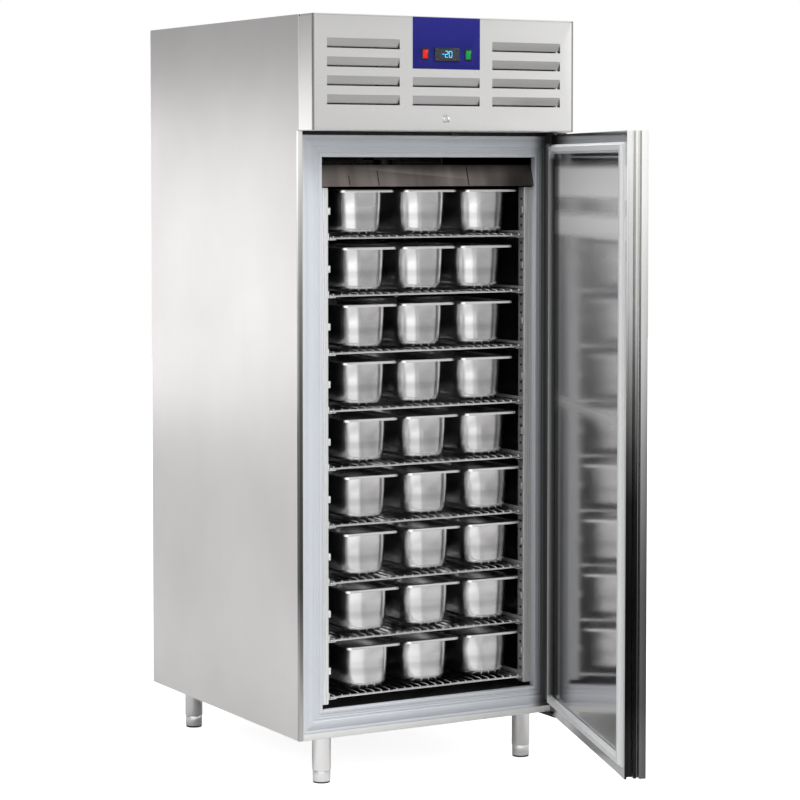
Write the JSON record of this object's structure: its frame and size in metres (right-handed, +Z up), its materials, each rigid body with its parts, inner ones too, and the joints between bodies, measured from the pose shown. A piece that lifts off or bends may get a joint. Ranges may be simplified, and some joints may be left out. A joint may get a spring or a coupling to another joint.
{
  "type": "ice cream storage freezer",
  "caption": "Tall upright steel freezer with one hinged door, sliding wire shelves that hold ice cream pans, and a cooling unit behind a louvred header.",
  "frame": {"origin": "on the floor, under the middle of the insulated body", "axes": "+X to the right along the front, +Y to the back, +Z up; the header and the door are on the -Y side"},
  "size_m": [0.8274, 1.7331, 2.03],
  "materials": {
    "stainless": "satin",
    "header_steel": "satin",
    "rail_steel": "satin",
    "galvanised": "matte",
    "liner_steel": "satin",
    "foam": "matte",
    "frame_plastic": "satin",
    "cover_steel": "polished",
    "fin_aluminium": "satin",
    "black_plastic": "satin",
    "rack_steel": "satin",
    "wire": "polished",
    "pan_steel": "polished",
    "bracket_steel": "satin",
    "black_paint": "satin",
    "fan_alloy": "satin",
    "copper": "satin",
    "box_plastic": "matte",
    "leg_steel": "satin",
    "blue_plate": "gloss",
    "display_glass": "gloss",
    "bezel_plastic": "satin",
    "red_rocker": "gloss",
    "green_rocker": "gloss",
    "key_plastic": "satin",
    "lock_chrome": "polished",
    "gasket_rubber": "matte",
    "bush_plastic": "matte"
  },
  "bodies": {
    "root": {"left_side_panel": "stainless", "right_side_panel": "stainless", "back_panel": "galvanised", "base_panel": "rail_steel", "unit_deck": "galvanised", "top_cover": "galvanised", "insulation_foam": "foam", "inner_liner": "liner_steel", "door_frame": "frame_plastic", "evaporator_cover": "cover_steel", "evaporator_coil": "fin_aluminium", "evaporator_fan_motor": "black_paint", "rack_uprights": "rack_steel", "shelf_runners": "rack_steel", "hinge_brackets": "bracket_steel", "compressor": "black_paint", "condenser_coil": "fin_aluminium", "condenser_fan_motor": "black_paint", "refrigerant_pipes": "copper", "electrical_box": "box_plastic", "cable_gland": "black_plastic", "leg_tubes": "leg_steel", "levelling_feet": "leg_steel"},
    "door": {"door_skin": "stainless", "door_liner": "liner_steel", "door_foam": "foam", "door_gasket": "gasket_rubber", "hinge_bushes": "bush_plastic"},
    "header": {"header_panel": "header_steel", "control_plate": "blue_plate", "thermostat": "display_glass", "switch_bezels": "bezel_plastic", "lock_housing": "lock_chrome"},
    "lock": {"lock_barrel": "lock_chrome"},
    "power_rocker": {"power_switch": "red_rocker"},
    "light_rocker": {"light_switch": "green_rocker"},
    "up_key": {"key_up": "key_plastic"},
    "down_key": {"key_down": "key_plastic"},
    "set_key": {"key_set": "key_plastic"},
    "defrost_key": {"key_defrost": "key_plastic"},
    "air_fan": {"evaporator_fan": "black_plastic"},
    "cooling_fan": {"condenser_fan": "fan_alloy"},
    "shelf_1": {"wire_shelf_1": "wire", "pans_1": "pan_steel"},
    "shelf_2": {"wire_shelf_2": "wire", "pans_2": "pan_steel"},
    "shelf_3": {"wire_shelf_3": "wire", "pans_3": "pan_steel"},
    "shelf_4": {"wire_shelf_4": "wire", "pans_4": "pan_steel"},
    "shelf_5": {"wire_shelf_5": "wire", "pans_5": "pan_steel"},
    "shelf_6": {"wire_shelf_6": "wire", "pans_6": "pan_steel"},
    "shelf_7": {"wire_shelf_7": "wire", "pans_7": "pan_steel"},
    "shelf_8": {"wire_shelf_8": "wire", "pans_8": "pan_steel"},
    "shelf_9": {"wire_shelf_9": "wire", "pans_9": "pan_steel"}
  },
  "joints": [
    {"name": "door_swing", "type": "hinge", "parent": "root", "child": "door", "pos_m": [0.386, -0.495, 0], "axis": [0, 0, 1], "range_deg": [-70.3, 34.7]},
    {"name": "header_tilt", "type": "hinge", "parent": "root", "child": "header", "pos_m": [0, -0.471, 2.026], "axis": [-1, 0, 0], "range_deg": [0, 55]},
    {"name": "lock_turn", "type": "hinge", "parent": "header", "child": "lock", "pos_m": [0, -0.545, 1.762], "axis": [0, 1, 0], "range_deg": [0, 90]},
    {"name": "power_rocker_press", "type": "hinge", "parent": "header", "child": "power_rocker", "pos_m": [-0.066, -0.543, 1.9315], "axis": [-1, 0, 0], "range_deg": [0, 16]},
    {"name": "light_rocker_press", "type": "hinge", "parent": "header", "child": "light_rocker", "pos_m": [0.066, -0.543, 1.9315], "axis": [-1, 0, 0], "range_deg": [0, 16]},
    {"name": "key_up_press", "type": "slide", "parent": "header", "child": "up_key", "axis": [0, 1, 0], "range_m": [0, 0.0008], "stiffness_N_per_m": 300},
    {"name": "key_down_press", "type": "slide", "parent": "header", "child": "down_key", "axis": [0, 1, 0], "range_m": [0, 0.0008], "stiffness_N_per_m": 300},
    {"name": "key_set_press", "type": "slide", "parent": "header", "child": "set_key", "axis": [0, 1, 0], "range_m": [0, 0.0008], "stiffness_N_per_m": 300},
    {"name": "key_defrost_press", "type": "slide", "parent": "header", "child": "defrost_key", "axis": [0, 1, 0], "range_m": [0, 0.0008], "stiffness_N_per_m": 300},
    {"name": "evaporator_fan_spin", "type": "hinge", "parent": "root", "child": "air_fan", "pos_m": [0, -0.2, 1.6], "axis": [0, 0, 1], "continuous": true},
    {"name": "condenser_fan_spin", "type": "hinge", "parent": "root", "child": "cooling_fan", "pos_m": [0.04, -0.32, 1.866], "axis": [0, 1, 0], "continuous": true},
    {"name": "shelf_1_slide", "type": "slide", "parent": "root", "child": "shelf_1", "axis": [0, -1, 0], "range_m": [0, 0.18]},
    {"name": "shelf_2_slide", "type": "slide", "parent": "root", "child": "shelf_2", "axis": [0, -1, 0], "range_m": [0, 0.18]},
    {"name": "shelf_3_slide", "type": "slide", "parent": "root", "child": "shelf_3", "axis": [0, -1, 0], "range_m": [0, 0.18]},
    {"name": "shelf_4_slide", "type": "slide", "parent": "root", "child": "shelf_4", "axis": [0, -1, 0], "range_m": [0, 0.18]},
    {"name": "shelf_5_slide", "type": "slide", "parent": "root", "child": "shelf_5", "axis": [0, -1, 0], "range_m": [0, 0.18]},
    {"name": "shelf_6_slide", "type": "slide", "parent": "root", "child": "shelf_6", "axis": [0, -1, 0], "range_m": [0, 0.18]},
    {"name": "shelf_7_slide", "type": "slide", "parent": "root", "child": "shelf_7", "axis": [0, -1, 0], "range_m": [0, 0.18]},
    {"name": "shelf_8_slide", "type": "slide", "parent": "root", "child": "shelf_8", "axis": [0, -1, 0], "range_m": [0, 0.18]},
    {"name": "shelf_9_slide", "type": "slide", "parent": "root", "child": "shelf_9", "axis": [0, -1, 0], "range_m": [0, 0.18]}
  ]
}
